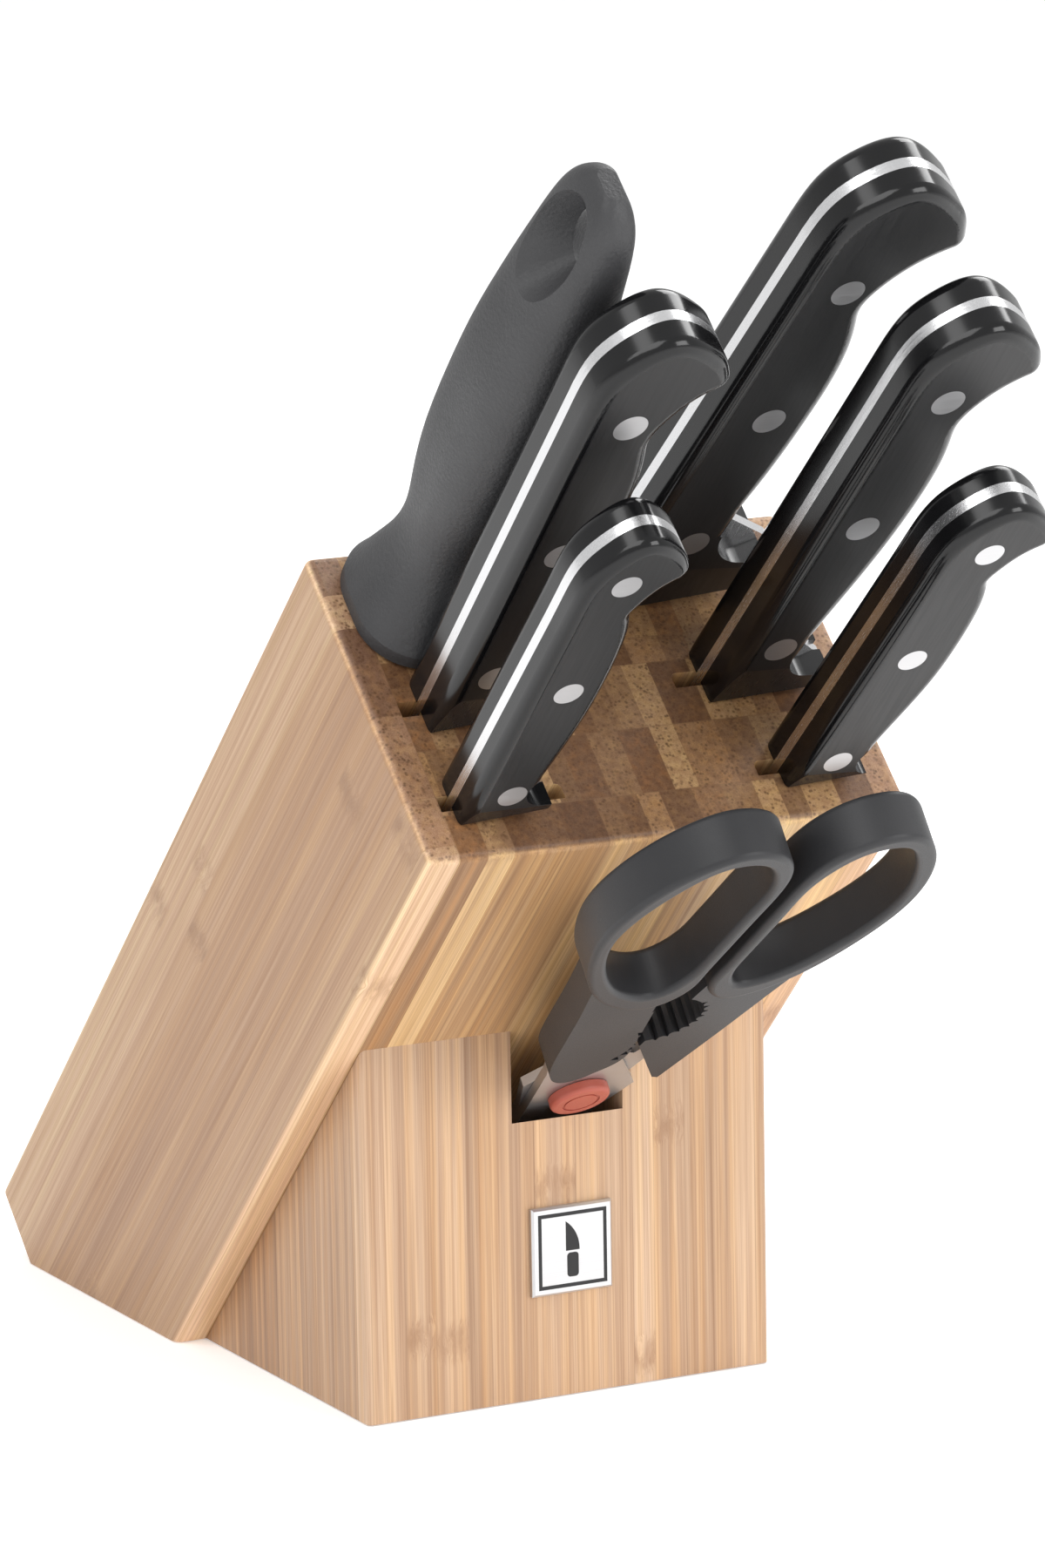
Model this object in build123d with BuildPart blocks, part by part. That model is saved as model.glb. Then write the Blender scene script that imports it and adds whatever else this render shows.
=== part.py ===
from build123d import *

import os
from dataclasses import dataclass
from math import cos, radians, sin, tan

# A slanted bamboo knife block on a triangular foot, holding five full-tang knives, a
# sharpening steel and a pair of kitchen shears. Millimetres, +Z up. The origin is the middle
# of the slanted block's underside, on the table. The block leans forward, towards -Y.
# Inside the block, places are given as x (across), n (from its back face towards its front
# face) and s (along its length, 0 at the top face and positive out of it).

# ---------------------------------------------------------------- block
lean_angle = 45.0
block_width = 120.0
block_thickness = 83.5
back_length = 260.0
front_length = 197.5
side_board = 7.5
edge_round = 2.0
slab_fronts = {"back_slab": 18.5, "second_slab": 45.2, "third_slab": 70.8}
slot_width = 4.0
slot_corner = 1.4
slot_end_gap = 2.0
slot_tip_gap = 6.0

# ---------------------------------------------------------------- foot and badge
foot_width = 104.0
foot_depth = 87.0
foot_edge_round = 1.2
pocket_width = 28.6
pocket_depth = 15.2
badge_size = 20.7
badge_thickness = 1.6
badge_height = 34.7
badge_bevel = 0.5
badge_frame_gap = 1.5
badge_frame_line = 0.9
enamel_depth = 0.4

# ---------------------------------------------------------------- knives
tang_thickness = 2.6
seat_gap = 0.2
edge_thickness = 0.5
grind_start = 2.0
spine_rest = 32.0
beak_round = 3.6
scallop_pitch = 6.0
scallop_radius = 4.5
scallop_depth = 0.9

# ---------------------------------------------------------------- sharpening steel
steel_x = -40.3
steel_lean = -1.0
rod_diameter = 10.5
rod_length = 200.0
rod_tip = 12.0
rod_tang = 70.0
bore_gap = 3.3
collar_length = 35.0
collar_width = 30.0
collar_rim = 4.0
grip_corner = 0.46
handle_top = 144.0
hang_hole_height = 127.5
hang_hole_length = 15.0
hang_hole_width = 9.5
scoop_length = 35.0
scoop_width = 22.0
scoop_reach = 11.0

# ---------------------------------------------------------------- shears
shears_tilt = 9.5
shears_x = 0.8
shears_out = 11.0
shears_down = 82.2
shear_blade = 2.4
blade_face_gap = 0.1
shear_blade_length = 92.0
pivot_radius = 3.0
running_gap = 0.05
cap_radius = 7.1
cap_thickness = 2.6
cap_rim = 1.1
nut_radius = 5.5
nut_thickness = 2.2
loop_depth = 12.0
loop_round = 1.35
lever_depth = 9.0
lever_round = 1.6
loop_gap = 3.6
loop_shift = 3.2
loop_size = {-1: 1.08, 1: 1.02}
loop_band = 3.2
tooth_size = 1.3
tooth_pitch = 2.1
relief_gap = 1.0


@dataclass
class Knife:
    """One knife in its own plane: u runs from spine to edge, v up from the block's top face."""

    name: str
    row: str
    spine_x: float
    lean: float
    handle_length: float
    half_thickness: float
    cheek_round: float
    pommel: float
    beak_drop: float
    neck: float
    neck_drop: float
    belly: float
    belly_height: float
    waist: float
    notch_u: float
    notch_v: float
    notch_radius: float
    nose_reach: float
    nose_rise: float
    facet_length: float
    facet_depth: float
    rivet_radius: float
    rivet_u: float
    first_rivet: float
    rivet_pitch: float
    rivet_drift: float
    heel_depth: float
    heel_height: float
    heel_round: float
    blade_length: float
    tip_u: float
    straight_spine: float
    straight_edge: float
    extra_left: float = 0.0
    extra_right: float = 0.0
    scalloped: bool = False


large_shape = dict(
    half_thickness=8.7, cheek_round=3.2, pommel=31.5, beak_drop=15.0, neck=20.0, neck_drop=28.0,
    belly=21.6, belly_height=76.0, waist=16.0, notch_u=20.5, notch_v=16.5, notch_radius=7.0,
    nose_rise=4.6, facet_length=13.5, facet_depth=1.7, rivet_radius=3.9, rivet_u=8.5,
    first_rivet=20.9, rivet_pitch=43.3, rivet_drift=1.3, heel_height=6.5, heel_round=3.0,
)
small_shape = dict(
    half_thickness=7.3, cheek_round=2.8, beak_drop=12.0, neck_drop=21.0, belly_height=47.0,
    facet_length=6.0, facet_depth=1.2, rivet_radius=3.4, rivet_pitch=37.2, row="third_slab",
    straight_spine=55.0,
)
knives = [
    Knife("chef_knife", "back_slab", 1.0, 4.7, **{
        **large_shape, "handle_length": 146.6, "pommel": 35.5, "beak_drop": 18.0, "neck": 21.0,
        "neck_drop": 33.5, "belly": 25.0, "waist": 22.8, "notch_u": 31.0, "notch_v": 29.5,
        "notch_radius": 9.6, "nose_rise": 10.0, "facet_length": 18.0, "rivet_u": 14.8,
        "first_rivet": 27.5, "rivet_drift": -1.3, "heel_height": 18.5, "heel_round": 4.0},
        nose_reach=38.0, heel_depth=43.0, blade_length=200.0, tip_u=26.0,
        straight_spine=110.0, straight_edge=70.0),
    Knife("bread_knife", "second_slab", -47.9, -1.0, **large_shape, handle_length=133.6,
          nose_reach=25.5, heel_depth=27.0, blade_length=200.0, tip_u=17.0,
          straight_spine=150.0, straight_edge=180.0, extra_left=3.0, scalloped=True),
    Knife("carving_knife", "second_slab", 22.1, 2.7, **large_shape, handle_length=130.6,
          nose_reach=27.0, heel_depth=29.0, blade_length=180.0, tip_u=17.0,
          straight_spine=95.0, straight_edge=110.0, extra_right=-1.0),
    Knife("paring_knife", spine_x=-49.9, lean=0.0, **small_shape, handle_length=98.6,
          pommel=24.3, neck=16.2, belly=18.0, waist=15.2, notch_u=17.5, notch_v=11.5,
          notch_radius=5.2, nose_reach=20.0, nose_rise=4.0, rivet_u=8.7, first_rivet=11.0,
          rivet_drift=0.2, heel_depth=23.2, heel_height=1.5, heel_round=5.0,
          blade_length=90.0, tip_u=11.0, straight_edge=40.0, extra_left=1.0,
          extra_right=2.6),
    Knife("utility_knife", spine_x=31.5, lean=3.3, **small_shape, handle_length=98.9,
          pommel=27.4, neck=18.6, belly=21.0, waist=16.6, notch_u=18.7, notch_v=9.6,
          notch_radius=4.9, nose_reach=19.4, nose_rise=4.9, rivet_u=8.3, first_rivet=10.3,
          rivet_drift=1.6, heel_depth=19.8, heel_height=3.0, heel_round=3.0,
          blade_length=120.0, tip_u=11.0, straight_edge=60.0, extra_right=-1.0),
]

# ---------------------------------------------------------------- the block's own frame
lean_sin = sin(radians(lean_angle))
lean_cos = cos(radians(lean_angle))
across = Vector(1, 0, 0)
upward = Vector(0, -lean_sin, lean_cos)
inward = Vector(0, -lean_cos, -lean_sin)
base_depth = (back_length - front_length) / lean_sin
base_front = Vector(0, -base_depth / 2, 0)
top_back = base_front + upward * front_length - inward * block_thickness
half_inner = block_width / 2 - side_board
blade_rows = {slab: front - slot_width / 2 for slab, front in slab_fronts.items()}


def in_block(x, n, s):
    """The point at x across, n in from the back face and s out of the top face."""
    return top_back + across * x + inward * n + upward * s


def layer(n):
    """The plane parallel to the block's front face at n, with x across and y upward."""
    return Plane(origin=in_block(0, n, 0), x_dir=across, z_dir=inward)


def side_plane(x):
    """The plane of the block's side profile at x, with x inward, y upward and z to -X."""
    return Plane(origin=in_block(x, 0, 0), x_dir=inward, z_dir=-across)


def leaned_plane(x, n, lean, seat):
    """A plane parallel to the front face, turned by lean towards +X, seated above the top face."""
    tilt = radians(lean)
    return Plane(
        origin=in_block(x, n, seat),
        x_dir=across * cos(tilt) - upward * sin(tilt),
        z_dir=inward,
    )


def finish(name, builder):
    """Names a finished piece and writes it."""
    builder.part.label = name
    export_step(builder.part, f"parts/{name}.step")


def block_profile(n_back, n_front):
    """The block's side profile between two depths, for the sketch it is called in."""
    heel_n = block_thickness - (back_length - front_length) / tan(radians(lean_angle))
    Polygon(
        (0, 0),
        (block_thickness, 0),
        (block_thickness, -front_length),
        (heel_n, -back_length),
        (0, -back_length),
        align=None,
    )
    with Locations(((n_back + n_front) / 2, -back_length / 2)):
        Rectangle(n_front - n_back, 2 * back_length, mode=Mode.INTERSECT)


def cross_edges(builder, n, s):
    """The edge of a piece that runs across the block at depth n and height s."""
    line = in_block(0, n, s)
    return builder.edges().filter_by(Axis.X).filter_by(
        lambda edge: abs(edge.center().Y - line.Y) + abs(edge.center().Z - line.Z) < edge_round / 4
    )


def blade_reach(knife):
    """The lowest and highest x of a knife's slot, from its blade's lean and depth."""
    slope = tan(radians(knife.lean))
    drift = slope * knife.straight_spine
    left = knife.spine_x - max(drift, 0.0) - slot_end_gap - knife.extra_left
    right = knife.spine_x + knife.heel_depth - min(drift, 0.0) + slot_end_gap + knife.extra_right
    return left, right


steel_n = blade_rows["back_slab"]
bore_radius = rod_diameter / 2 + bore_gap
steel_seat = seat_gap + collar_width / 2 * sin(radians(abs(steel_lean)))
steel_plane = leaned_plane(steel_x, steel_n, steel_lean, steel_seat)
steel_axis_plane = Plane(
    origin=steel_plane.origin, x_dir=steel_plane.x_dir, z_dir=steel_plane.y_dir
)
shears_turn = radians(shears_tilt)
shears_plane = Plane(
    origin=in_block(shears_x, block_thickness + shears_out, -shears_down),
    x_dir=across,
    z_dir=inward * cos(shears_turn) - upward * sin(shears_turn),
)

os.makedirs("parts", exist_ok=True)

# ---------------------------------------------------------------- slabs of the block
slab_back = 0.0
for slab_name, slab_front in {**slab_fronts, "front_slab": block_thickness}.items():
    with BuildPart() as slab:
        with BuildSketch(side_plane(0)):
            block_profile(slab_back, slab_front)
        extrude(amount=half_inner, both=True)
        if slab_name == "back_slab":
            fillet(cross_edges(slab, 0, 0) + cross_edges(slab, 0, -back_length), edge_round)
        if slab_name == "front_slab":
            fillet(cross_edges(slab, block_thickness, 0), edge_round)
        # Each slot is a stopped groove in the slab's front face, closed by the next slab.
        for knife in [k for k in knives if k.row == slab_name]:
            slot_left, slot_right = blade_reach(knife)
            slot_depth = knife.blade_length + slot_tip_gap
            with BuildSketch(layer(slab_front)):
                with Locations(((slot_left + slot_right) / 2, 0)):
                    Rectangle(slot_right - slot_left, 2 * slot_depth)
            extrude(amount=-slot_width, mode=Mode.SUBTRACT)
            floor = in_block(0, slab_front - slot_width, 0)
            corners = slab.edges(Select.LAST).filter_by(Axis(in_block(0, 0, 0), upward))
            fillet(
                corners.filter_by(
                    lambda edge: abs((edge.center() - floor).dot(inward)) < slot_corner / 4
                    and abs(edge.center().X) < half_inner - slot_corner
                ),
                slot_corner,
            )
        if slab_back < steel_n + bore_radius:
            with BuildSketch(Plane(origin=in_block(steel_x, steel_n, 0), z_dir=upward)):
                Circle(bore_radius)
            extrude(amount=-(rod_length + slot_tip_gap), mode=Mode.SUBTRACT)
        if slab_name == "front_slab":
            # The tips of the tilted shears need a shallow relief behind the foot's pocket.
            back_face = shears_out - shear_blade * cos(shears_turn) - relief_gap
            relief_top = shears_down + back_face / tan(shears_turn)
            relief_end = shears_down + (shear_blade_length + relief_gap) * cos(shears_turn) + relief_gap
            relief_depth = (shear_blade_length + relief_gap) * sin(shears_turn) - back_face
            with BuildSketch(layer(block_thickness)):
                with Locations((0, -(relief_top + relief_end) / 2)):
                    Rectangle(pocket_width, relief_end - relief_top)
            extrude(amount=-relief_depth, mode=Mode.SUBTRACT)
    finish(slab_name, slab)
    slab_back = slab_front

# ---------------------------------------------------------------- side boards
for board_name, board_side in {"left_side_board": -1, "right_side_board": 1}.items():
    with BuildPart() as board:
        with BuildSketch(side_plane(board_side * half_inner)):
            block_profile(0, block_thickness)
        extrude(amount=-board_side * side_board)
        fillet(
            cross_edges(board, 0, 0)
            + cross_edges(board, block_thickness, 0)
            + cross_edges(board, 0, -back_length),
            edge_round,
        )
        outer_face = board.faces().sort_by(Axis.X)[0 if board_side < 0 else -1]
        fillet(
            outer_face.edges().filter_by(lambda edge: edge.center().Z > edge_round / 4),
            edge_round * 0.98,
        )
    finish(board_name, board)

# ---------------------------------------------------------------- foot
foot_height = foot_depth / tan(radians(lean_angle))
foot_front = base_front.Y - foot_depth
with BuildPart() as foot:
    with BuildSketch(Plane.YZ):
        Polygon(
            (base_front.Y, 0),
            (foot_front, foot_height),
            (foot_front, 0),
            align=None,
        )
    extrude(amount=foot_width / 2, both=True)
    fillet(foot.edges().filter_by(Axis.Z), foot_edge_round)
    with BuildSketch(layer(block_thickness)):
        Rectangle(pocket_width, 2 * back_length)
    extrude(amount=pocket_depth, mode=Mode.SUBTRACT)
finish("foot", foot)

# ---------------------------------------------------------------- badge
badge_plane = Plane(
    origin=(0, foot_front, badge_height), x_dir=(1, 0, 0), z_dir=(0, -1, 0)
)
frame_outer = badge_size - 2 * badge_frame_gap
frame_inner = frame_outer - 2 * badge_frame_line
with BuildPart() as badge_enamel:
    with BuildSketch(badge_plane.offset(badge_thickness)):
        Rectangle(frame_outer, frame_outer)
        Rectangle(frame_inner, frame_inner, mode=Mode.SUBTRACT)
        # A plain upright knife: blade above, handle below.
        blade_half = frame_inner / 9
        with BuildLine():
            tip = (-blade_half, frame_inner * 0.42)
            heel = (blade_half, -frame_inner * 0.02)
            Line((-blade_half, heel[1]), tip)
            ThreePointArc(tip, (blade_half * 0.55, frame_inner * 0.22), heel)
            Line(heel, (-blade_half, heel[1]))
        make_face()
        with Locations((0, -frame_inner * 0.23)):
            RectangleRounded(blade_half * 1.7, frame_inner * 0.36, blade_half * 0.5)
    extrude(amount=-enamel_depth)
finish("badge_enamel", badge_enamel)

with BuildPart() as badge_plate:
    with BuildSketch(badge_plane):
        Rectangle(badge_size, badge_size)
    extrude(amount=badge_thickness)
    chamfer(badge_plate.faces().sort_by(Axis.Y)[0].edges(), badge_bevel)
    add(badge_enamel.part, mode=Mode.SUBTRACT)
finish("badge_plate", badge_plate)


# ---------------------------------------------------------------- knives
def handle_line(knife):
    """The spine side, pommel and underside of a handle, for the line it is called in."""
    top = knife.handle_length
    beak = (knife.pommel, top - knife.beak_drop)
    Spline(
        (0, top - spine_rest),
        (knife.pommel * 0.16, top - 5.5),
        (knife.pommel * 0.44, top),
        (knife.pommel * 0.8, top - knife.beak_drop * 0.36),
        beak,
        tangents=[(0, 1), (0.35, -1)],
    )
    Spline(
        beak,
        (knife.neck + (knife.pommel - knife.neck) * 0.32, top - (knife.beak_drop + knife.neck_drop) / 2),
        (knife.neck, top - knife.neck_drop),
        (knife.belly, knife.belly_height),
        tangents=[(-1, -0.6), (0, -1)],
    )
    Spline(
        (knife.belly, knife.belly_height),
        (knife.waist, knife.notch_v + knife.notch_radius),
        tangents=[(0, -1), (-0.15, -1)],
    )
    Line((knife.waist, knife.notch_v + knife.notch_radius), (knife.waist, knife.notch_v))


def beak_corner(outline, knife):
    """The sharp corner at the tip of the pommel's beak."""
    corner = (knife.pommel, knife.handle_length - knife.beak_drop)
    return outline.vertices().sort_by_distance(corner)[0]


def rivet_places(knife):
    """The three rivet centres, which follow the handle's curve."""
    return [
        (knife.rivet_u + i * knife.rivet_drift, knife.first_rivet + i * knife.rivet_pitch)
        for i in range(3)
    ]


def make_blade(knife, plane):
    """The blade and its full tang, one steel plate ground thinner towards the edge."""
    heel = (knife.heel_depth, knife.heel_height)
    edge_end = (knife.heel_depth, -knife.straight_edge)
    tip = (knife.tip_u, -knife.blade_length)
    with BuildPart() as blade:
        with BuildSketch(plane) as outline:
            with BuildLine():
                Line((0, -knife.straight_spine), (0, knife.handle_length - spine_rest))
                handle_line(knife)
                Line((knife.waist, knife.notch_v), heel)
                Line(heel, edge_end)
                Spline(edge_end, tip, tangents=[(0, -1), (-0.75, -1)])
                Spline(tip, (0, -knife.straight_spine), tangents=[(-0.5, 1), (0, 1)])
            make_face()
            fillet(beak_corner(outline, knife), beak_round)
            fillet(outline.vertices().sort_by_distance(heel)[0], knife.heel_round)
            if knife.scalloped:
                scallops = int((knife.straight_edge - grind_start) / scallop_pitch) - 1
                for i in range(scallops):
                    with Locations((
                        knife.heel_depth + scallop_radius - scallop_depth,
                        -grind_start - (i + 1) * scallop_pitch,
                    )):
                        Circle(scallop_radius, mode=Mode.SUBTRACT)
        extrude(amount=tang_thickness / 2, both=True)
        # The two flat grinds: wedges taken off each cheek of the blade, below the block's top.
        with BuildSketch(Plane(
            origin=plane.from_local_coords((0, -grind_start, 0)),
            x_dir=plane.x_dir,
            z_dir=-plane.y_dir,
        )):
            for side in (1, -1):
                Polygon(
                    (0, side * tang_thickness / 2),
                    (knife.heel_depth, side * edge_thickness / 2),
                    (knife.heel_depth * 1.2, side * edge_thickness / 2),
                    (knife.heel_depth * 1.2, side * tang_thickness),
                    (0, side * tang_thickness),
                    align=None,
                )
        extrude(amount=knife.blade_length, mode=Mode.SUBTRACT)
        with BuildSketch(plane):
            with Locations(*rivet_places(knife)):
                Circle(knife.rivet_radius)
        extrude(amount=tang_thickness, both=True, mode=Mode.SUBTRACT)
    return blade


def make_front_scale(knife, plane):
    """The black grip scale on the front cheek of the tang."""
    scale_depth = knife.half_thickness - tang_thickness / 2
    nose_slope = knife.nose_rise / knife.nose_reach
    with BuildPart() as scale:
        with BuildSketch(plane.offset(tang_thickness / 2)) as outline:
            with BuildLine():
                Line((0, 0), (0, knife.handle_length - spine_rest))
                handle_line(knife)
                Line((knife.waist, knife.notch_v), (knife.waist, nose_slope * knife.waist))
                Line((knife.waist, nose_slope * knife.waist), (0, 0))
            make_face()
            fillet(beak_corner(outline, knife), beak_round)
        extrude(amount=scale_depth)
        cheek = scale.faces().filter_by(plane).sort_by(Axis(plane.origin, inward))[-1]
        fillet(
            cheek.edges().filter_by(
                lambda edge: plane.to_local_coords(edge.center()).Y > nose_slope * knife.waist
            ),
            knife.cheek_round,
        )
        # The nose runs on past the grip, along the heel of the blade.
        with BuildSketch(plane.offset(tang_thickness / 2)):
            Polygon(
                (knife.waist / 2, nose_slope * knife.waist / 2),
                (knife.nose_reach, knife.nose_rise),
                (knife.nose_reach, knife.notch_v),
                (knife.waist / 2, knife.notch_v),
                align=None,
            )
        extrude(amount=scale_depth)
        # The nose: a long shallow facet across the front end of the scale.
        with BuildSketch(Plane(origin=plane.origin, x_dir=plane.y_dir, z_dir=plane.x_dir)):
            Polygon(
                (0, knife.half_thickness - knife.facet_depth),
                (knife.facet_length, knife.half_thickness),
                (0, knife.half_thickness),
                align=None,
            )
        extrude(amount=knife.nose_reach + knife.pommel, mode=Mode.SUBTRACT)
        # The finger notch, open towards the edge, which bares the steel of the heel.
        with BuildSketch(plane):
            with Locations((knife.notch_u, knife.notch_v)):
                Circle(knife.notch_radius)
            with Locations((knife.notch_u + knife.pommel / 2, knife.notch_v)):
                Rectangle(knife.pommel, 2 * knife.notch_radius)
        extrude(amount=knife.half_thickness, mode=Mode.SUBTRACT)
        with BuildSketch(plane):
            with Locations(*rivet_places(knife)):
                Circle(knife.rivet_radius)
        extrude(amount=knife.half_thickness, mode=Mode.SUBTRACT)
    return scale


for knife in knives:
    knife_plane = leaned_plane(knife.spine_x, blade_rows[knife.row], knife.lean, seat_gap)
    finish(f"{knife.name}_blade", make_blade(knife, knife_plane))
    front_scale = make_front_scale(knife, knife_plane)
    finish(f"{knife.name}_front_scale", front_scale)
    with BuildPart() as back_scale:
        mirror(front_scale.part, about=knife_plane)
    finish(f"{knife.name}_back_scale", back_scale)
    with BuildPart() as rivets:
        with BuildSketch(knife_plane):
            with Locations(*rivet_places(knife)):
                Circle(knife.rivet_radius)
        extrude(amount=knife.half_thickness, both=True)
    finish(f"{knife.name}_rivets", rivets)

# ---------------------------------------------------------------- sharpening steel
with BuildPart() as sharpening_rod:
    with BuildSketch(steel_axis_plane):
        Circle(rod_diameter / 2)
    extrude(amount=rod_tang)
    with BuildSketch(steel_axis_plane):
        Circle(rod_diameter / 2)
    extrude(amount=-rod_length)
    rod_end = sharpening_rod.faces().sort_by(Axis(steel_axis_plane.origin, steel_axis_plane.z_dir))[0]
    chamfer(rod_end.edges(), rod_tip, rod_diameter * 0.3)
finish("sharpening_rod", sharpening_rod)

# Each section of the grip: height, width across the block, and length along its thickness.
grip_sections = [
    (collar_rim, collar_width, collar_length), (12, 24.8, 29.0), (20, 20.2, 24.2), (29, 18.4, 22.4),
    (40, 21.0, 25.4), (52, 23.9, 29.0), (65, 25.3, 30.6), (78, 25.6, 31.0), (91, 25.0, 30.6),
    (103, 22.6, 29.4), (114, 19.3, 28.0), (124, 15.8, 26.4), (132, 12.8, 24.6), (138, 10.2, 21.0),
    (142, 7.2, 15.0), (handle_top, 4.4, 8.5),
]
with BuildPart() as steel_handle:
    with BuildSketch(steel_axis_plane):
        RectangleRounded(collar_width, collar_length, collar_width * grip_corner)
    extrude(amount=collar_rim)
    collar_base = steel_handle.faces().sort_by(
        Axis(steel_axis_plane.origin, steel_axis_plane.z_dir)
    )[0]
    chamfer(collar_base.edges(), collar_rim / 6)
    for height, width, length in grip_sections:
        with BuildSketch(steel_axis_plane.offset(height)):
            RectangleRounded(width, length, width * grip_corner)
    loft()
    # The hanging hole runs across the grip, with a scoop into it from each side.
    hole_height = steel_axis_plane.from_local_coords((0, 0, hang_hole_height))
    for side in (1, -1):
        hole_plane = Plane(
            origin=hole_height, x_dir=steel_axis_plane.z_dir, z_dir=steel_axis_plane.x_dir * side
        )
        with BuildSketch(hole_plane):
            Ellipse(hang_hole_length / 2, hang_hole_width / 2)
        with BuildSketch(hole_plane.offset(scoop_reach)):
            Ellipse(scoop_length / 2, scoop_width / 2)
        loft(mode=Mode.SUBTRACT)
    add(sharpening_rod.part, mode=Mode.SUBTRACT)
finish("steel_handle", steel_handle)


# ---------------------------------------------------------------- shears
def loop_outline(side):
    """The outside of a finger loop on the side given, for the line it is called in."""
    inner = loop_gap / 2
    points = [
        (inner, 73), (inner, 86), (inner, 99), (inner, 111), (3.4, 122), (10, 131.5), (19.5, 133.5),
        (29, 125.5), (34.8, 112), (36.4, 97), (33.5, 82), (27, 67), (18, 57), (8.5, 54.5),
        (inner + 0.6, 61.5),
    ]
    Spline(*[(loop_shift + side * loop_size[side] * x, height) for x, height in points], periodic=True)


def loop_hole(side):
    """The opening of a finger loop, for the line it is called in."""
    inner = loop_gap / 2 + loop_band
    points = [
        (inner, 77), (inner, 88.5), (inner, 100), (inner, 111), (7.4, 120.5), (13, 127.5), (20, 128),
        (26.8, 120), (31, 109), (32.6, 96.5), (30.2, 84), (25, 72.5), (18, 64), (10, 61.5),
        (inner + 0.8, 68),
    ]
    Spline(*[(loop_shift + side * loop_size[side] * x, height) for x, height in points], periodic=True)


def make_shear_blade(points, near, far):
    """A steel plate of the shears between two distances in front of the shear plane."""
    with BuildPart() as plate:
        with BuildSketch(shears_plane.offset(near)):
            Polygon(*points, align=None)
            Circle(pivot_radius + running_gap, mode=Mode.SUBTRACT)
        extrude(amount=far - near)
    return plate


front_points = [
    (-13.5, 13), (-17, 26), (-13, 40), (-6, 40), (0, 24), (6.5, 13.5), (13.8, 1.5), (9.5, -12),
    (5.5, -60), (1.5, -shear_blade_length), (-2.5, -88), (-7, -50), (-10, -10),
]
back_points = [
    (9.5, 13.5), (16.5, 28), (18.5, 42), (22.5, 42), (19, 24), (14.5, 12), (10, -10), (7, -50),
    (2.5, -88), (-1.5, -shear_blade_length), (-5.5, -60), (-9.5, -12), (-13.8, 1.5), (-7.5, 11),
    (1, 17),
]
# The toothed arc of each handle: centre, radius, first angle, swing, and if it is a hollow.
tooth_arcs = {
    -1: ((-11.8, 30.5), 13.1, -34, 62, False),
    1: ((0.6, 43), 11.4, -66, 104, True),
}
shears_front_blade = make_shear_blade(front_points, blade_face_gap / 2, shear_blade)
finish("shears_front_blade", shears_front_blade)
shears_back_blade = make_shear_blade(back_points, -shear_blade, -blade_face_gap / 2)
finish("shears_back_blade", shears_back_blade)


def front_lever():
    """The left lever, which bulges towards the other one, for the line it is called in."""
    Line((-4, 60.5), (-26, 72))
    Spline((-26, 72), (-22, 52), (-18.6, 31), (-15.8, 19), tangents=[(0.2, -1), (0.4, -1)])
    Spline((-15.8, 19), (-10.2, 12.6), (-4.5, 15), tangents=[(0.4, -1), (0.9, 1)])
    Spline(
        (-4.5, 15), (0.4, 20.5), (1.3, 29), (-0.4, 38), (-2.4, 49), (-4, 60.5),
        tangents=[(0.9, 1), (-0.1, 1)],
    )


def back_lever():
    """The right lever, which ends in a point beside the pivot, for the line it is called in."""
    Line((6, 60.5), (31, 71))
    Spline((31, 71), (26.5, 52), (22.4, 33), (16.4, 8), tangents=[(-0.25, -1), (-0.25, -1)])
    Line((16.4, 8), (14.6, 8.8))
    Line((14.6, 8.8), (2.6, 29))
    Line((2.6, 29), (6, 60.5))


def make_shear_handle(side, lever, tang):
    """A moulded handle: a rounded finger loop, and a lever that grips the tang of its blade."""
    centre, radius, first_angle, swing, hollow = tooth_arcs[side]
    with BuildPart() as handle:
        with BuildSketch(shears_plane):
            with BuildLine():
                loop_outline(side)
            make_face()
            with BuildLine():
                loop_hole(side)
            make_face(mode=Mode.SUBTRACT)
        extrude(amount=loop_depth / 2, both=True)
        fillet(handle.faces().filter_by(shears_plane).edges(), loop_round)
        with BuildSketch(shears_plane):
            with BuildLine():
                lever()
            make_face()
            # Gripping teeth along the arc that faces the other handle.
            with Locations(centre):
                if hollow:
                    Circle(radius, mode=Mode.SUBTRACT)
                with PolarLocations(
                    radius, int(radians(swing) * radius / tooth_pitch), first_angle, swing, endpoint=True
                ):
                    RegularPolygon(tooth_size, 3, mode=Mode.SUBTRACT)
            with BuildLine():
                loop_hole(side)
            make_face(mode=Mode.SUBTRACT)
        extrude(amount=lever_depth / 2, both=True)
        add(tang, mode=Mode.SUBTRACT)
    return handle


shears_front_handle = make_shear_handle(-1, front_lever, shears_front_blade.part)
finish("shears_front_handle", shears_front_handle)
shears_back_handle = make_shear_handle(1, back_lever, shears_back_blade.part)
finish("shears_back_handle", shears_back_handle)

cap_base = shear_blade + blade_face_gap
with BuildPart() as shears_pivot_screw:
    with BuildSketch(shears_plane.offset(-cap_base - nut_thickness)):
        Circle(pivot_radius)
    extrude(amount=2 * cap_base + nut_thickness + cap_thickness / 2)
finish("shears_pivot_screw", shears_pivot_screw)

with BuildPart() as shears_pivot_cap:
    with BuildSketch(shears_plane.offset(cap_base)):
        Circle(cap_radius)
    extrude(amount=cap_thickness)
    cap_top = shears_pivot_cap.faces().sort_by(Axis(shears_plane.origin, shears_plane.z_dir))[-1]
    fillet(cap_top.edges(), cap_rim)
    with BuildSketch(shears_plane.offset(cap_base + cap_thickness)):
        Circle(cap_radius * 0.62)
        Circle(cap_radius * 0.54, mode=Mode.SUBTRACT)
    extrude(amount=-cap_rim / 4, mode=Mode.SUBTRACT)
    add(shears_pivot_screw.part, mode=Mode.SUBTRACT)
finish("shears_pivot_cap", shears_pivot_cap)

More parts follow.
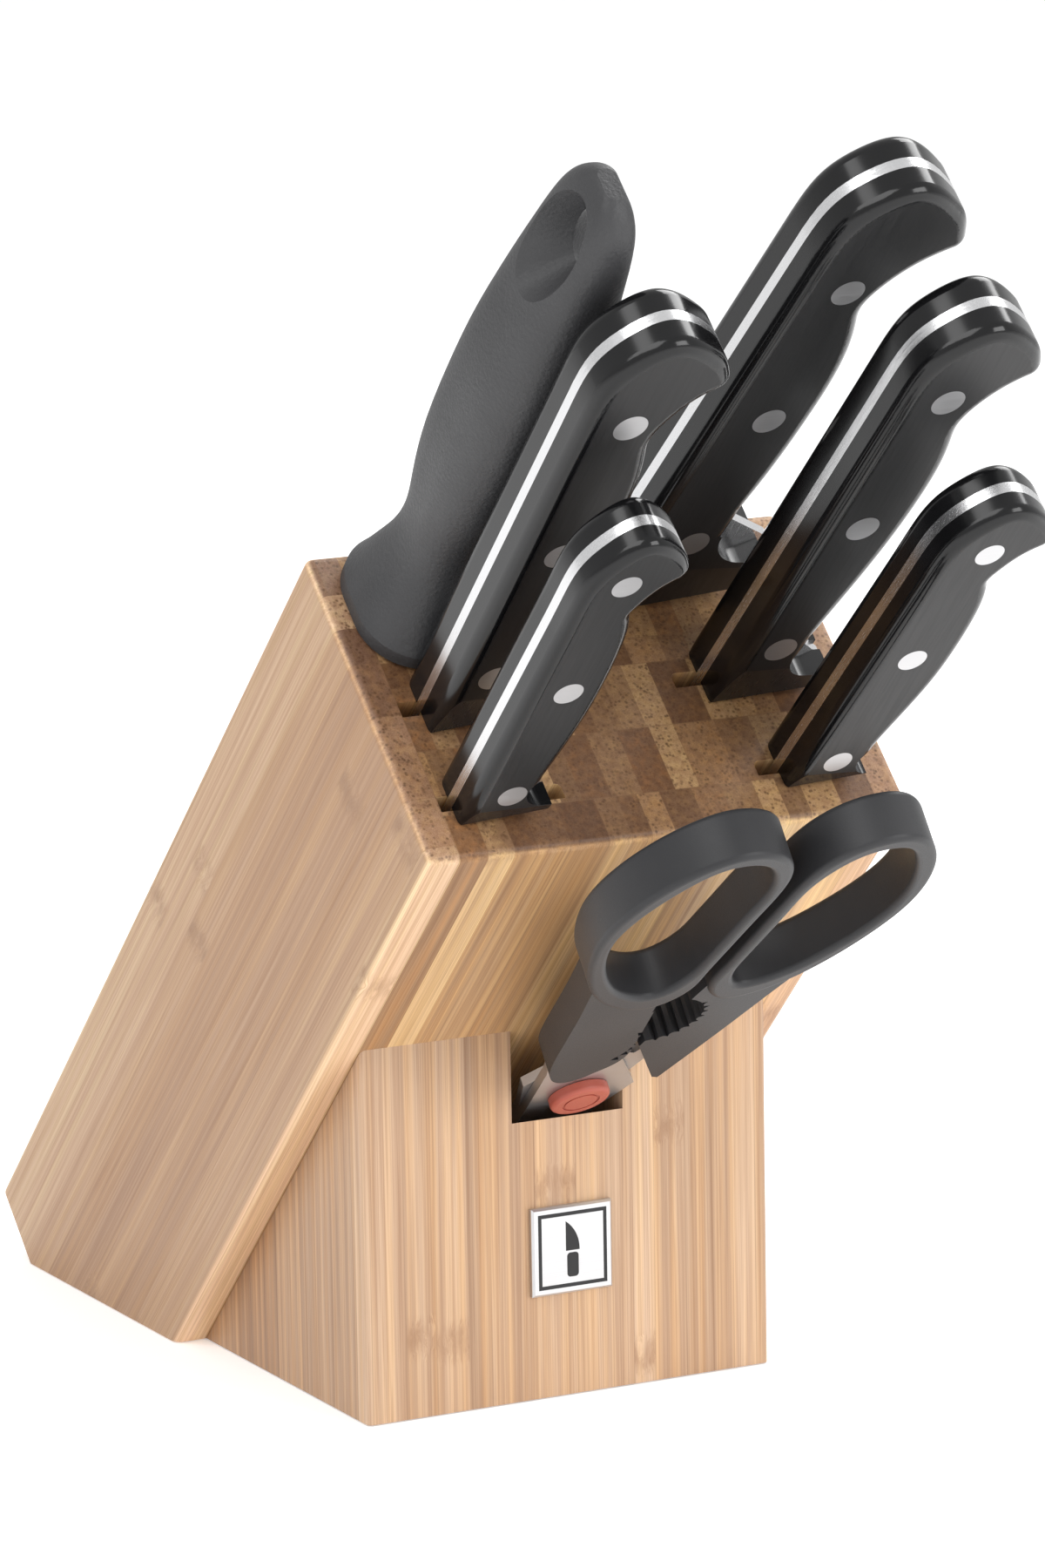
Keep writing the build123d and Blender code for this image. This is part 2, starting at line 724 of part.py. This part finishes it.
with BuildPart() as shears_pivot_nut:
    with BuildSketch(shears_plane.offset(-cap_base)):
        Circle(nut_radius)
    extrude(amount=-nut_thickness)
    nut_back = shears_pivot_nut.faces().sort_by(Axis(shears_plane.origin, shears_plane.z_dir))[0]
    chamfer(nut_back.edges(), nut_thickness / 4)
    add(shears_pivot_screw.part, mode=Mode.SUBTRACT)
finish("shears_pivot_nut", shears_pivot_nut)
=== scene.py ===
# %% [markdown]
# # A bamboo knife block with its knives
# This lesson dresses a knife block that was drawn as exact solids: five knives, a sharpening
# steel and a pair of kitchen shears stand in a slanted bamboo block. The solids already have the
# right shapes and joints, so the work here is finishes, light and the few soft details that
# solids leave out. Everything is in metres, +Z up, and the block leans towards -Y.

from math import cos, radians, sin

import bpy
from mathutils import Matrix, Vector

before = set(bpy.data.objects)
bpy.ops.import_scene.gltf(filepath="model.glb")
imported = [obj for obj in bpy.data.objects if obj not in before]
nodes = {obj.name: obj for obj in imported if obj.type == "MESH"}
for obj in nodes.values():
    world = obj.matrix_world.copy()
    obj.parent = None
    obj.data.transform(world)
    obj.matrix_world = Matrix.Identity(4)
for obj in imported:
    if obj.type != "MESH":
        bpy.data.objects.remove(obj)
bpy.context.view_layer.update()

# %% [markdown]
# ## The block's own directions
# The block leans at 45 degrees, so its long direction, its thickness and its width are better
# axes than the room's. The grain of the bamboo runs along `upward`. Naming these three once lets
# every finish below talk about "along the grain" and "through the thickness".

# %% Directions of the leaning block
LEAN = radians(45)
across = Vector((1, 0, 0))
upward = Vector((0, -sin(LEAN), cos(LEAN)))
inward = Vector((0, -cos(LEAN), -sin(LEAN)))
block_top_back = Vector((0, -0.124805, 0.198697))
print("grain runs along", [round(c, 3) for c in upward])

# %% [markdown]
# ## Camera
# A long lens, as product pictures use, keeps the block's edges nearly parallel. The camera is
# built from the way it looks: a yaw, a pitch and a slight roll give three directions, and those
# are the columns of its matrix. That is easier to reason about than three Euler angles.

# %% Place the camera
CAMERA_PLACE = Vector((-0.6978, -1.4580, 0.4259))
YAW = radians(27.40)
PITCH = radians(10.70)
ROLL = radians(-0.99)
look = Vector((sin(YAW) * cos(PITCH), cos(YAW) * cos(PITCH), -sin(PITCH)))
level_right = Vector((cos(YAW), -sin(YAW), 0))
level_up = level_right.cross(look)
right = level_right * cos(ROLL) + level_up * sin(ROLL)
up = level_up * cos(ROLL) - level_right * sin(ROLL)

camera_data = bpy.data.cameras.new("product_camera")
camera_data.lens = 155.18
camera_data.sensor_width = 36.0
camera_data.clip_end = 100.0
camera = bpy.data.objects.new("product_camera", camera_data)
camera.matrix_world = Matrix((
    (right.x, up.x, -look.x, CAMERA_PLACE.x),
    (right.y, up.y, -look.y, CAMERA_PLACE.y),
    (right.z, up.z, -look.z, CAMERA_PLACE.z),
    (0, 0, 0, 1),
))
bpy.context.scene.collection.objects.link(camera)
bpy.context.scene.camera = camera
print("camera looks along", [round(c, 3) for c in look])

# %% [markdown]
# ## Floor and light
# The set stands on a seamless white sheet. One large flat sheet fills the view, so no horizon
# shows, and it glows a little, so it stays white in the object's shade. One broad lamp hangs above
# on the left, one stands in front on the right and lights the foot, and one hangs behind on the
# right and lights the shoulders of the handles. An even pale sky does the rest. Big lamps make
# long soft highlights on polished handles; small ones would give hard dots. Colours are shown as
# they are, with Blender's Standard view, because a film-like view would grey the white sheet.

# %% Lay the floor
FLOOR_SIZE = 30.0
FLOOR_GAP = 0.0003
floor_mesh = bpy.data.meshes.new("white_sheet")
half = FLOOR_SIZE / 2
floor_mesh.from_pydata(
    [(-half, -half, 0), (half, -half, 0), (half, half, 0), (-half, half, 0)], [], [(0, 1, 2, 3)]
)
floor = bpy.data.objects.new("white_sheet", floor_mesh)
floor.location.z = -FLOOR_GAP
bpy.context.scene.collection.objects.link(floor)
print("sheet of", FLOOR_SIZE, "m")


# %% Hang the lamps
def softbox(name, place, aim, width, height, power):
    """A rectangular lamp at a place, facing a point."""
    lamp = bpy.data.lights.new(name, "AREA")
    lamp.shape = "RECTANGLE"
    lamp.size = width
    lamp.size_y = height
    lamp.energy = power
    holder = bpy.data.objects.new(name, lamp)
    direction = Vector(aim) - Vector(place)
    holder.location = place
    holder.rotation_euler = direction.to_track_quat("-Z", "Y").to_euler()
    bpy.context.scene.collection.objects.link(holder)


middle = (0, -0.12, 0.15)
softbox("key_softbox", (-1.0, -0.75, 1.30), middle, 1.2, 0.9, 10)
softbox("front_softbox", (0.75, -1.6, 0.75), middle, 1.0, 0.8, 12)
softbox("shoulder_softbox", (1.1, 0.30, 1.35), middle, 0.9, 0.9, 16)

world = bpy.data.worlds.new("pale_sky")
world.use_nodes = True
world.node_tree.nodes["Background"].inputs["Color"].default_value = (1, 1, 1, 1)
world.node_tree.nodes["Background"].inputs["Strength"].default_value = 0.72
bpy.context.scene.world = world
bpy.context.scene.view_settings.view_transform = "Standard"

# %% [markdown]
# ## A small kit for finishes
# A finish here is a handful of nodes: something that says where a point is, something that makes
# a pattern from it, and a shader. Wiring them by hand is long-winded, so this little class adds a
# node, fills its sockets and returns the output that the next one needs.


# %% Finish kit
class Finish:
    """A material under construction, with short ways to add the nodes it uses."""

    def __init__(self, name, **shader_values):
        self.material = bpy.data.materials.new(name)
        self.material.use_nodes = True
        self.tree = self.material.node_tree
        self.shader = self.tree.nodes["Principled BSDF"]
        for socket, value in shader_values.items():
            self.shader.inputs[socket.replace("_", " ")].default_value = value
        self.place = self.tree.nodes.new("ShaderNodeTexCoord").outputs["Object"]

    def fill(self, socket, value):
        """Wires an output to a socket, or sets the socket's number."""
        if isinstance(value, bpy.types.NodeSocket):
            self.tree.links.new(value, socket)
        else:
            socket.default_value = value

    def math(self, operation, *values):
        node = self.tree.nodes.new("ShaderNodeMath")
        node.operation = operation
        for socket, value in zip(node.inputs, values):
            self.fill(socket, value)
        return node.outputs[0]

    def vector_math(self, operation, *values, output="Vector"):
        node = self.tree.nodes.new("ShaderNodeVectorMath")
        node.operation = operation
        for socket, value in zip(node.inputs, values):
            self.fill(socket, value)
        return node.outputs[output]

    def along(self, direction, origin=(0, 0, 0), source=None):
        """How far a point is along a direction, in metres."""
        moved = self.vector_math("SUBTRACT", source or self.place, tuple(origin))
        return self.vector_math("DOT_PRODUCT", moved, tuple(direction), output="Value")

    def combine(self, x, y, z):
        node = self.tree.nodes.new("ShaderNodeCombineXYZ")
        for socket, value in zip(node.inputs, (x, y, z)):
            self.fill(socket, value)
        return node.outputs[0]

    def noise(self, vector, scale=1.0, detail=2.0, roughness=0.5, distortion=0.0):
        node = self.tree.nodes.new("ShaderNodeTexNoise")
        self.fill(node.inputs["Vector"], vector)
        node.inputs["Scale"].default_value = scale
        node.inputs["Detail"].default_value = detail
        node.inputs["Roughness"].default_value = roughness
        node.inputs["Distortion"].default_value = distortion
        return node.outputs["Fac"]

    def cells(self, vector, scale=1.0, output="Distance", feature="F1"):
        node = self.tree.nodes.new("ShaderNodeTexVoronoi")
        node.feature = feature
        self.fill(node.inputs["Vector"], vector)
        node.inputs["Scale"].default_value = scale
        return node.outputs[output]

    def dice(self, vector):
        """A number from 0 to 1 that is the same wherever the vector is the same."""
        node = self.tree.nodes.new("ShaderNodeTexWhiteNoise")
        node.noise_dimensions = "3D"
        self.fill(node.inputs["Vector"], vector)
        return node.outputs["Value"]

    def ramp(self, value, stops):
        """Colours or greys picked by a value, blended between stops."""
        node = self.tree.nodes.new("ShaderNodeValToRGB")
        self.fill(node.inputs[0], value)
        elements = node.color_ramp.elements
        for index, (position, colour) in enumerate(stops):
            element = elements[index] if index < 2 else elements.new(position)
            element.position = position
            element.color = (*colour, 1) if len(colour) == 3 else colour
        return node.outputs["Color"]

    def spread(self, value, low, high, new_low, new_high, smooth=False):
        """Moves a value from one range to another, and holds it inside."""
        node = self.tree.nodes.new("ShaderNodeMapRange")
        if smooth:
            node.interpolation_type = "SMOOTHSTEP"
        for socket, given in zip(node.inputs, (value, low, high, new_low, new_high)):
            self.fill(socket, given)
        return node.outputs[0]

    def mix(self, factor, first, second, blend="MIX"):
        node = self.tree.nodes.new("ShaderNodeMix")
        node.data_type = "RGBA"
        node.blend_type = blend
        self.fill(node.inputs["Factor"], factor)
        for socket, value in ((node.inputs[6], first), (node.inputs[7], second)):
            self.fill(socket, (*value, 1) if isinstance(value, tuple) else value)
        return node.outputs[2]

    def colour(self, value):
        self.fill(self.shader.inputs["Base Color"], value)

    def roughness(self, value):
        self.fill(self.shader.inputs["Roughness"], value)

    def bump(self, height, depth, strength=1.0):
        """Relief whose height of 1 stands for a real depth in metres."""
        node = self.tree.nodes.new("ShaderNodeBump")
        node.inputs["Strength"].default_value = strength
        node.inputs["Distance"].default_value = depth
        self.fill(node.inputs["Height"], height)
        self.tree.links.new(node.outputs["Normal"], self.shader.inputs["Normal"])

    def put_on(self, *names):
        """Gives the finish to CAD nodes."""
        for name in names:
            slots = nodes[name].data.materials
            slots.clear()
            slots.append(self.material)


# %% [markdown]
# ## Bamboo
# Bamboo board is glued from long thin strips. A strip shows three things: a shade of its own,
# fine fibre lines along its length, and, where the cane had a knuckle, a small swirl. Cut across,
# the same fibres show as dark dots. One pattern can do both, because the fibres are really long
# columns: cells that are tiny across the grain and very long along it give dots on the end of the
# block and streaks down its sides. So the finish works in the strip's own three directions. It
# looks at which way a face points only to darken the end grain, and that darkening also holds
# painted shade for the top of the block.

# %% Which strip a point is in
FIBRE_PITCH = 0.00105
FIBRE_STRETCH = 0.012
LINE_PITCH = 0.00032
KNUCKLE_SPACING = 0.21
KNUCKLE_REACH = 0.0065
GLUE_LINE = 0.00022


def scaled(finish, wide, deep, grain, fine, long):
    """A place in the board, stretched so that a noise is fine across the grain and long along it."""
    return finish.combine(
        finish.math("MULTIPLY", wide, fine), finish.math("MULTIPLY", deep, fine),
        finish.math("MULTIPLY", grain, long))


def find_layer(finish, deep, layers):
    """The number of the layer through the thickness, and how far the nearest layer joint is."""
    if isinstance(layers, float):
        layer_place = finish.math("DIVIDE", deep, layers)
        layer_part = finish.math("FRACT", layer_place)
        layer_gap = finish.math("MULTIPLY", finish.math("PINGPONG", layer_part, 0.5), layers)
        return finish.math("FLOOR", layer_place), layer_gap
    layer = finish.math("GREATER_THAN", deep, layers[0])
    layer_gap = finish.math("ABSOLUTE", finish.math("SUBTRACT", deep, layers[0]))
    for edge in layers[1:]:
        layer = finish.math("ADD", layer, finish.math("GREATER_THAN", deep, edge))
        gap = finish.math("ABSOLUTE", finish.math("SUBTRACT", deep, edge))
        layer_gap = finish.math("MINIMUM", layer_gap, gap)
    return layer, layer_gap


def find_strip(finish, wide, layer, strip, seed):
    """How far the nearest strip joint is, and two numbers that belong to the strip alone."""
    shift = finish.dice(finish.combine(layer, seed, 0.5))
    place = finish.math("ADD", finish.math("DIVIDE", wide, strip), shift)
    wobble = finish.noise(finish.combine(finish.math("MULTIPLY", place, 0.37), layer, seed), 1.0, 0)
    place = finish.math("ADD", place, finish.math("MULTIPLY", wobble, 1.6))
    number = finish.math("FLOOR", place)
    part = finish.math("FRACT", place)
    strip_gap = finish.math("MULTIPLY", finish.math("PINGPONG", part, 0.5), strip)
    own = finish.dice(finish.combine(number, layer, seed))
    own_too = finish.dice(finish.combine(layer, number, seed + 3.0))
    return strip_gap, own, own_too


print("fibres", FIBRE_PITCH * 1000, "mm apart, knuckles every", KNUCKLE_SPACING * 1000, "mm")

# %% [markdown]
# A knuckle is one short place along a strip where the fibres swirl and darken. The swirl is made
# by pushing the fibre pattern sideways by a noise that is only strong near the knuckle, so the
# lines themselves bend, as they do in the cane. A much weaker push everywhere keeps the rest of
# the lines from being ruler-straight.


# %% Knuckles
def knuckles(finish, wide, deep, grain, own, own_too):
    """Where the knuckles are, the noise inside them and the sideways push on the fibres."""
    place = finish.math("ADD", finish.math("DIVIDE", grain, KNUCKLE_SPACING), own_too)
    away = finish.math(
        "MULTIPLY",
        finish.math("ABSOLUTE", finish.math("SUBTRACT", finish.math("FRACT", place), 0.5)),
        KNUCKLE_SPACING,
    )
    knuckle = finish.spread(away, 0.0, KNUCKLE_REACH, 1.0, 0.0, smooth=True)
    knuckle = finish.math("MULTIPLY", knuckle, finish.math("GREATER_THAN", own, 0.35))
    swirl = finish.noise(scaled(finish, wide, deep, grain, 260, 120), 1.0, 2)
    sway = finish.noise(scaled(finish, wide, deep, grain, 60, 9), 1.0, 1)
    strong = finish.math(
        "MULTIPLY", finish.math("SUBTRACT", swirl, 0.5), finish.math("MULTIPLY", knuckle, 0.0045))
    weak = finish.math("MULTIPLY", finish.math("SUBTRACT", sway, 0.5), 0.0011)
    return knuckle, swirl, finish.math("ADD", strong, weak)


# %% [markdown]
# The fibres come in bundles. Each bundle is one cell of a Voronoi pattern, drawn out along the
# grain. Between the bundles are finer lines and broader bands, from two noises that are drawn out
# in the same way. The three together give the lively, even streaks of bamboo, which has no rings.


# %% Fibres
def fibres(finish, wide, deep, grain, push):
    """The bundles, how dark each one is, the fine lines and the broad bands."""
    wide_pushed = finish.math("ADD", wide, push)
    deep_pushed = finish.math("ADD", deep, push)
    bundles = finish.cells(finish.combine(
        finish.math("DIVIDE", wide_pushed, FIBRE_PITCH),
        finish.math("DIVIDE", deep_pushed, FIBRE_PITCH),
        finish.math("MULTIPLY", grain, 1 / FIBRE_PITCH * FIBRE_STRETCH)))
    crowd = finish.noise(scaled(finish, wide, deep, grain, 330, 5), 1.0, 1)
    bundle_dark = finish.math(
        "MULTIPLY", finish.spread(bundles, 0.16, 0.46, 1.0, 0.0),
        finish.spread(crowd, 0.35, 0.7, 0.35, 1.0))
    lines = finish.noise(finish.combine(
        finish.math("DIVIDE", wide_pushed, LINE_PITCH),
        finish.math("DIVIDE", deep_pushed, LINE_PITCH),
        finish.math("MULTIPLY", grain, 14)), 1.0, 3, 0.65)
    bands = finish.noise(scaled(finish, wide_pushed, deep_pushed, grain, 620, 6), 1.0, 2)
    return bundles, bundle_dark, lines, bands


# %% [markdown]
# Cut across, bamboo is much darker than along its side, because the open ends of the fibres drink
# the oil, and each strip drinks a different amount. So the end grain gets its own darkening, which
# comes in where a face points along the grain, and the bundles turn into dark dots there. Part of
# this darkening is painted shade: the top of the block, which is end grain, is made darker still to
# stand in for the shade that the handles cast on it.

# %% Bamboo finish
DARK_FIBRE = (0.30, 0.16, 0.08)
KNUCKLE_BROWN = (0.34, 0.19, 0.105)
DOT_BROWN = (0.10, 0.045, 0.018)
GLUE_BROWN = (0.22, 0.115, 0.055)
# Multipliers for the end grain: partly its real darker tone, partly painted shade standing in for the
# handles' shade on the top of the block.
end_grain_and_shade_tones = [
    (0.0, (0.27, 0.21, 0.20)), (1.0, (0.66, 0.60, 0.56)), (0.3, (0.48, 0.42, 0.40)),
]


def bamboo(name, axes, origin, strip, layers, tones, seed):
    """Laminated bamboo with its strips along the last of three axes."""
    finish = Finish(name, Roughness=0.42, Specular_IOR_Level=0.4)
    wide, deep, grain = (finish.along(axis, origin) for axis in axes)
    layer, layer_gap = find_layer(finish, deep, layers)
    strip_gap, own, own_too = find_strip(finish, wide, layer, strip, seed)
    knuckle, swirl, push = knuckles(finish, wide, deep, grain, own, own_too)
    bundles, bundle_dark, lines, bands = fibres(finish, wide, deep, grain, push)

    normal = finish.tree.nodes.new("ShaderNodeNewGeometry").outputs["Normal"]
    facing = finish.math("ABSOLUTE", finish.vector_math(
        "DOT_PRODUCT", normal, tuple(axes[2]), output="Value"))
    end_grain = finish.spread(facing, 0.55, 0.92, 0.0, 1.0, smooth=True)

    # The strip's own shade, then light streaks, fine lines and broad bands over it.
    shade = finish.ramp(own, tones)
    streaks = finish.noise(scaled(finish, wide, deep, grain, 420, 7), 1.0, 1)
    shade = finish.mix(
        finish.spread(streaks, 0.42, 0.7, 0.0, 0.55), shade, (1.0, 0.80, 0.56), "SOFT_LIGHT")
    shade = finish.mix(
        finish.spread(lines, 0.42, 0.68, 0.0, 0.42), shade, (0.42, 0.26, 0.15), "MULTIPLY")
    shade = finish.mix(
        finish.spread(bands, 0.38, 0.68, 0.0, 0.34), shade, (0.40, 0.235, 0.13), "MULTIPLY")
    shade = finish.mix(finish.math("MULTIPLY", bundle_dark, 0.26), shade, DARK_FIBRE)
    shade = finish.mix(
        finish.math("MULTIPLY", knuckle, finish.spread(swirl, 0.35, 0.62, 0.0, 0.75)),
        shade, KNUCKLE_BROWN)

    # The end grain's darkening, partly its real tone and partly painted shade from the handles over the
    # top, and its dots, and last the glue lines, which show everywhere.
    end_grain_and_shade_own = finish.ramp(own_too, end_grain_and_shade_tones)
    shade = finish.mix(1.0, shade, finish.mix(end_grain, (1.0, 1.0, 1.0), end_grain_and_shade_own), "MULTIPLY")
    end_dots = finish.math("MULTIPLY", finish.math("MULTIPLY", bundle_dark, end_grain), 0.85)
    shade = finish.mix(end_dots, shade, DOT_BROWN)
    joint = finish.math(
        "MAXIMUM",
        finish.spread(layer_gap, 0.0, GLUE_LINE * 1.3, 0.55, 0.0),
        finish.spread(strip_gap, 0.0, GLUE_LINE, 0.34, 0.0),
    )
    finish.colour(finish.mix(joint, shade, GLUE_BROWN))
    finish.roughness(finish.spread(lines, 0.3, 0.7, 0.36, 0.52))
    relief = finish.math(
        "ADD", finish.math("MULTIPLY", lines, 0.6), finish.math("MULTIPLY", bundles, 0.4))
    finish.bump(relief, 0.00006)
    return finish


# %% [markdown]
# The block, its side boards and the foot are glued from different strips, so each has its own
# strip width, its own layers and its own range of shades. The numbers for the block's layers are
# the depths of its glue lines, measured from the back.

# %% Dress the wood
block_axes = (across, inward, upward)
side_axes = (inward, across, upward)
foot_axes = (Vector((1, 0, 0)), Vector((0, 1, 0)), Vector((0, 0, 1)))
block_tones = [
    (0.0, (0.34, 0.19, 0.095)), (1.0, (0.80, 0.55, 0.29)), (0.14, (0.47, 0.28, 0.14)),
    (0.35, (0.62, 0.39, 0.20)), (0.7, (0.70, 0.46, 0.235)),
]
side_tones = [
    (0.0, (0.50, 0.30, 0.178)), (1.0, (0.92, 0.655, 0.43)), (0.5, (0.71, 0.46, 0.28)),
]
foot_tones = [
    (0.0, (0.33, 0.195, 0.115)), (1.0, (0.66, 0.47, 0.325)), (0.12, (0.46, 0.30, 0.19)),
    (0.6, (0.58, 0.395, 0.26)),
]
slab_bamboo = bamboo(
    "bamboo_slabs", block_axes, block_top_back, 0.0068, (0.0306, 0.0376, 0.0547, 0.0719),
    block_tones, 2.0)
slab_bamboo.put_on("back_slab", "second_slab", "third_slab", "front_slab")
side_bamboo = bamboo(
    "bamboo_side_boards", side_axes, block_top_back, 0.0125, 0.0075, side_tones, 5.0)
side_bamboo.put_on("left_side_board", "right_side_board")
foot_bamboo = bamboo("bamboo_foot", foot_axes, (0, 0, 0), 0.0072, 0.021, foot_tones, 9.0)
foot_bamboo.put_on("foot")
print("bamboo nodes:", [len(f.tree.nodes) for f in (slab_bamboo, side_bamboo, foot_bamboo)])

# %% [markdown]
# ## Steel
# Three kinds of steel show. The tangs and blades are finely polished along their length, the
# rivets are satin, and the shears are ground across. All are metal with a grey colour; what tells
# them apart is how rough they are and which way their fine scratches run. The scratches are noise
# that is stretched along one direction, used both as roughness and as a very shallow relief.


# %% Steel finishes
def steel(name, colour, rough, scratch_direction, scratch_pitch=0.00025, stretch=0.015, depth=4e-6):
    """Metal with fine scratches along one direction."""
    finish = Finish(name, Metallic=1.0)
    side = scratch_direction.orthogonal().normalized()
    other = scratch_direction.cross(side).normalized()
    scratches = finish.noise(finish.combine(
        finish.math("DIVIDE", finish.along(side), scratch_pitch),
        finish.math("DIVIDE", finish.along(other), scratch_pitch),
        finish.math("DIVIDE", finish.along(scratch_direction), scratch_pitch / stretch)), 1.0, 3, 0.6)
    smudges = finish.noise(finish.place, 55.0, 2)
    finish.colour(finish.mix(finish.spread(scratches, 0.3, 0.7, 0.0, 1.0),
                             tuple(c * 0.93 for c in colour), colour))
    finish.roughness(finish.math(
        "ADD", finish.spread(scratches, 0.3, 0.7, rough - 0.05, rough + 0.06),
        finish.spread(smudges, 0.4, 0.7, 0.0, 0.04)))
    finish.bump(scratches, depth)
    return finish


knives = ("chef_knife", "bread_knife", "carving_knife", "paring_knife", "utility_knife")
blade_steel = steel("polished_blade_steel", (0.80, 0.80, 0.81), 0.22, upward)
blade_steel.put_on(*[f"{knife}_blade" for knife in knives])
rivet_steel = steel("satin_rivet_steel", (0.62, 0.62, 0.63), 0.36, across, 0.0002)
rivet_steel.put_on(*[f"{knife}_rivets" for knife in knives])
rod_steel = steel("ribbed_rod_steel", (0.60, 0.60, 0.62), 0.30, upward, 0.0004, 0.002, 2e-5)
rod_steel.put_on("sharpening_rod")
shears_steel = steel("ground_shears_steel", (0.50, 0.50, 0.51), 0.38, across, 0.0003)
shears_steel.put_on(
    "shears_front_blade", "shears_back_blade", "shears_pivot_screw", "shears_pivot_nut")
print("steels:", [f.material.name for f in (blade_steel, rivet_steel, rod_steel, shears_steel)])

# %% [markdown]
# ## Black handles
# The knife handles are a hard black plastic. The two broad cheeks are finished satin on a belt,
# and everything that curves away from them is buffed to a gloss. A point's own surface direction
# tells the two apart: where it faces straight out of the cheek it is satin, elsewhere glossy. The
# line where they meet is what makes these handles look crisp.


# %% Knife handle finish
def handle_black():
    finish = Finish("buffed_black_handle", Specular_IOR_Level=0.42)
    normal = finish.tree.nodes.new("ShaderNodeNewGeometry").outputs["Normal"]
    cheek = finish.math("ABSOLUTE", finish.vector_math(
        "DOT_PRODUCT", normal, tuple(inward), output="Value"))
    satin = finish.spread(cheek, 0.985, 0.999, 0.0, 1.0)
    swirls = finish.noise(finish.combine(
        finish.math("MULTIPLY", finish.along(across), 1500),
        finish.math("MULTIPLY", finish.along(inward), 1500),
        finish.math("MULTIPLY", finish.along(upward), 60)), 1.0, 3)
    haze = finish.noise(finish.place, 30.0, 2)
    gloss = finish.spread(haze, 0.3, 0.7, 0.13, 0.2)
    belt = finish.spread(swirls, 0.3, 0.7, 0.36, 0.46)
    finish.roughness(finish.math("ADD", gloss, finish.math(
        "MULTIPLY", satin, finish.math("SUBTRACT", belt, gloss))))
    finish.colour(finish.mix(satin, (0.004, 0.004, 0.0045), (0.007, 0.007, 0.0075)))
    finish.bump(finish.math("MULTIPLY", swirls, satin), 5e-6)
    return finish


handle_finish = handle_black()
print("handle nodes:", len(handle_finish.tree.nodes))
handle_finish.put_on(*[f"{knife}_{side}_scale" for knife in knives for side in ("front", "back")])

# %% [markdown]
# ## Moulded grips
# The sharpening steel's handle and the shears are softer, matte mouldings. The steel's handle has
# a pebbled skin from an etched mould: small rounded bumps, closely packed, which a cell pattern
# gives. The shears are smoother and a little greyer. Their relief is real but tiny, so it is a
# bump and not geometry.


# %% Moulded plastic finishes
def moulded(name, dark, light, rough, pebble, depth):
    """Matte plastic from a mould with an etched skin."""
    finish = Finish(name, Specular_IOR_Level=0.42)
    bumps = finish.cells(finish.place, 1 / pebble, feature="SMOOTH_F1")
    patches = finish.noise(finish.place, 38.0, 3)
    grain = finish.noise(finish.place, 2.2 / pebble, 2)
    finish.colour(finish.mix(finish.spread(patches, 0.35, 0.65, 0.0, 1.0), dark, light))
    finish.roughness(finish.spread(grain, 0.3, 0.7, rough - 0.06, rough + 0.06))
    finish.bump(finish.math("ADD", finish.math("MULTIPLY", bumps, -0.7), finish.math(
        "MULTIPLY", grain, 0.5)), depth)
    return finish


pebbled = moulded(
    "pebbled_black_grip", (0.036, 0.036, 0.038), (0.048, 0.048, 0.050), 0.50, 0.0009, 1.4e-4)
pebbled.put_on("steel_handle")
charcoal = moulded(
    "charcoal_shears_grip", (0.020, 0.020, 0.022), (0.026, 0.026, 0.028), 0.50, 0.0004, 1.5e-5)
charcoal.put_on("shears_front_handle", "shears_back_handle")
cap_red = moulded("coral_red_cap", (0.36, 0.075, 0.050), (0.42, 0.095, 0.062), 0.44, 0.0004, 1e-5)
cap_red.put_on("shears_pivot_cap")
print("moulded:", [f.material.name for f in (pebbled, charcoal, cap_red)])

# %% [markdown]
# ## The badge
# A small square plate of bright metal sits on the foot. Its lines are filled with black enamel.
# The plate is brushed across, and the enamel is slightly rough, as paint in an engraved line is.

# %% Badge finishes
plate_silver = steel("brushed_badge_silver", (0.66, 0.66, 0.67), 0.34, across, 0.00018)
plate_silver.put_on("badge_plate")
enamel = moulded("black_badge_enamel", (0.012, 0.012, 0.013), (0.018, 0.018, 0.02), 0.4, 0.0003, 5e-6)
enamel.put_on("badge_enamel")
print("badge:", plate_silver.material.name, "and", enamel.material.name)

# %% [markdown]
# ## The floor's own finish
# The sheet is paper: white, matte, with a fine tooth that only shows close up.

# %% Paper finish
paper = Finish("white_paper", Roughness=0.9, Specular_IOR_Level=0.2, Emission_Strength=0.35)
paper.shader.inputs["Emission Color"].default_value = (1, 1, 1, 1)
tooth = paper.noise(paper.place, 900.0, 3)
paper.colour(paper.mix(paper.spread(tooth, 0.3, 0.7, 0.0, 1.0), (0.90, 0.90, 0.90), (0.93, 0.93, 0.93)))
paper.bump(tooth, 2e-5)
floor_mesh.materials.append(paper.material)
print("floor finish:", paper.material.name)
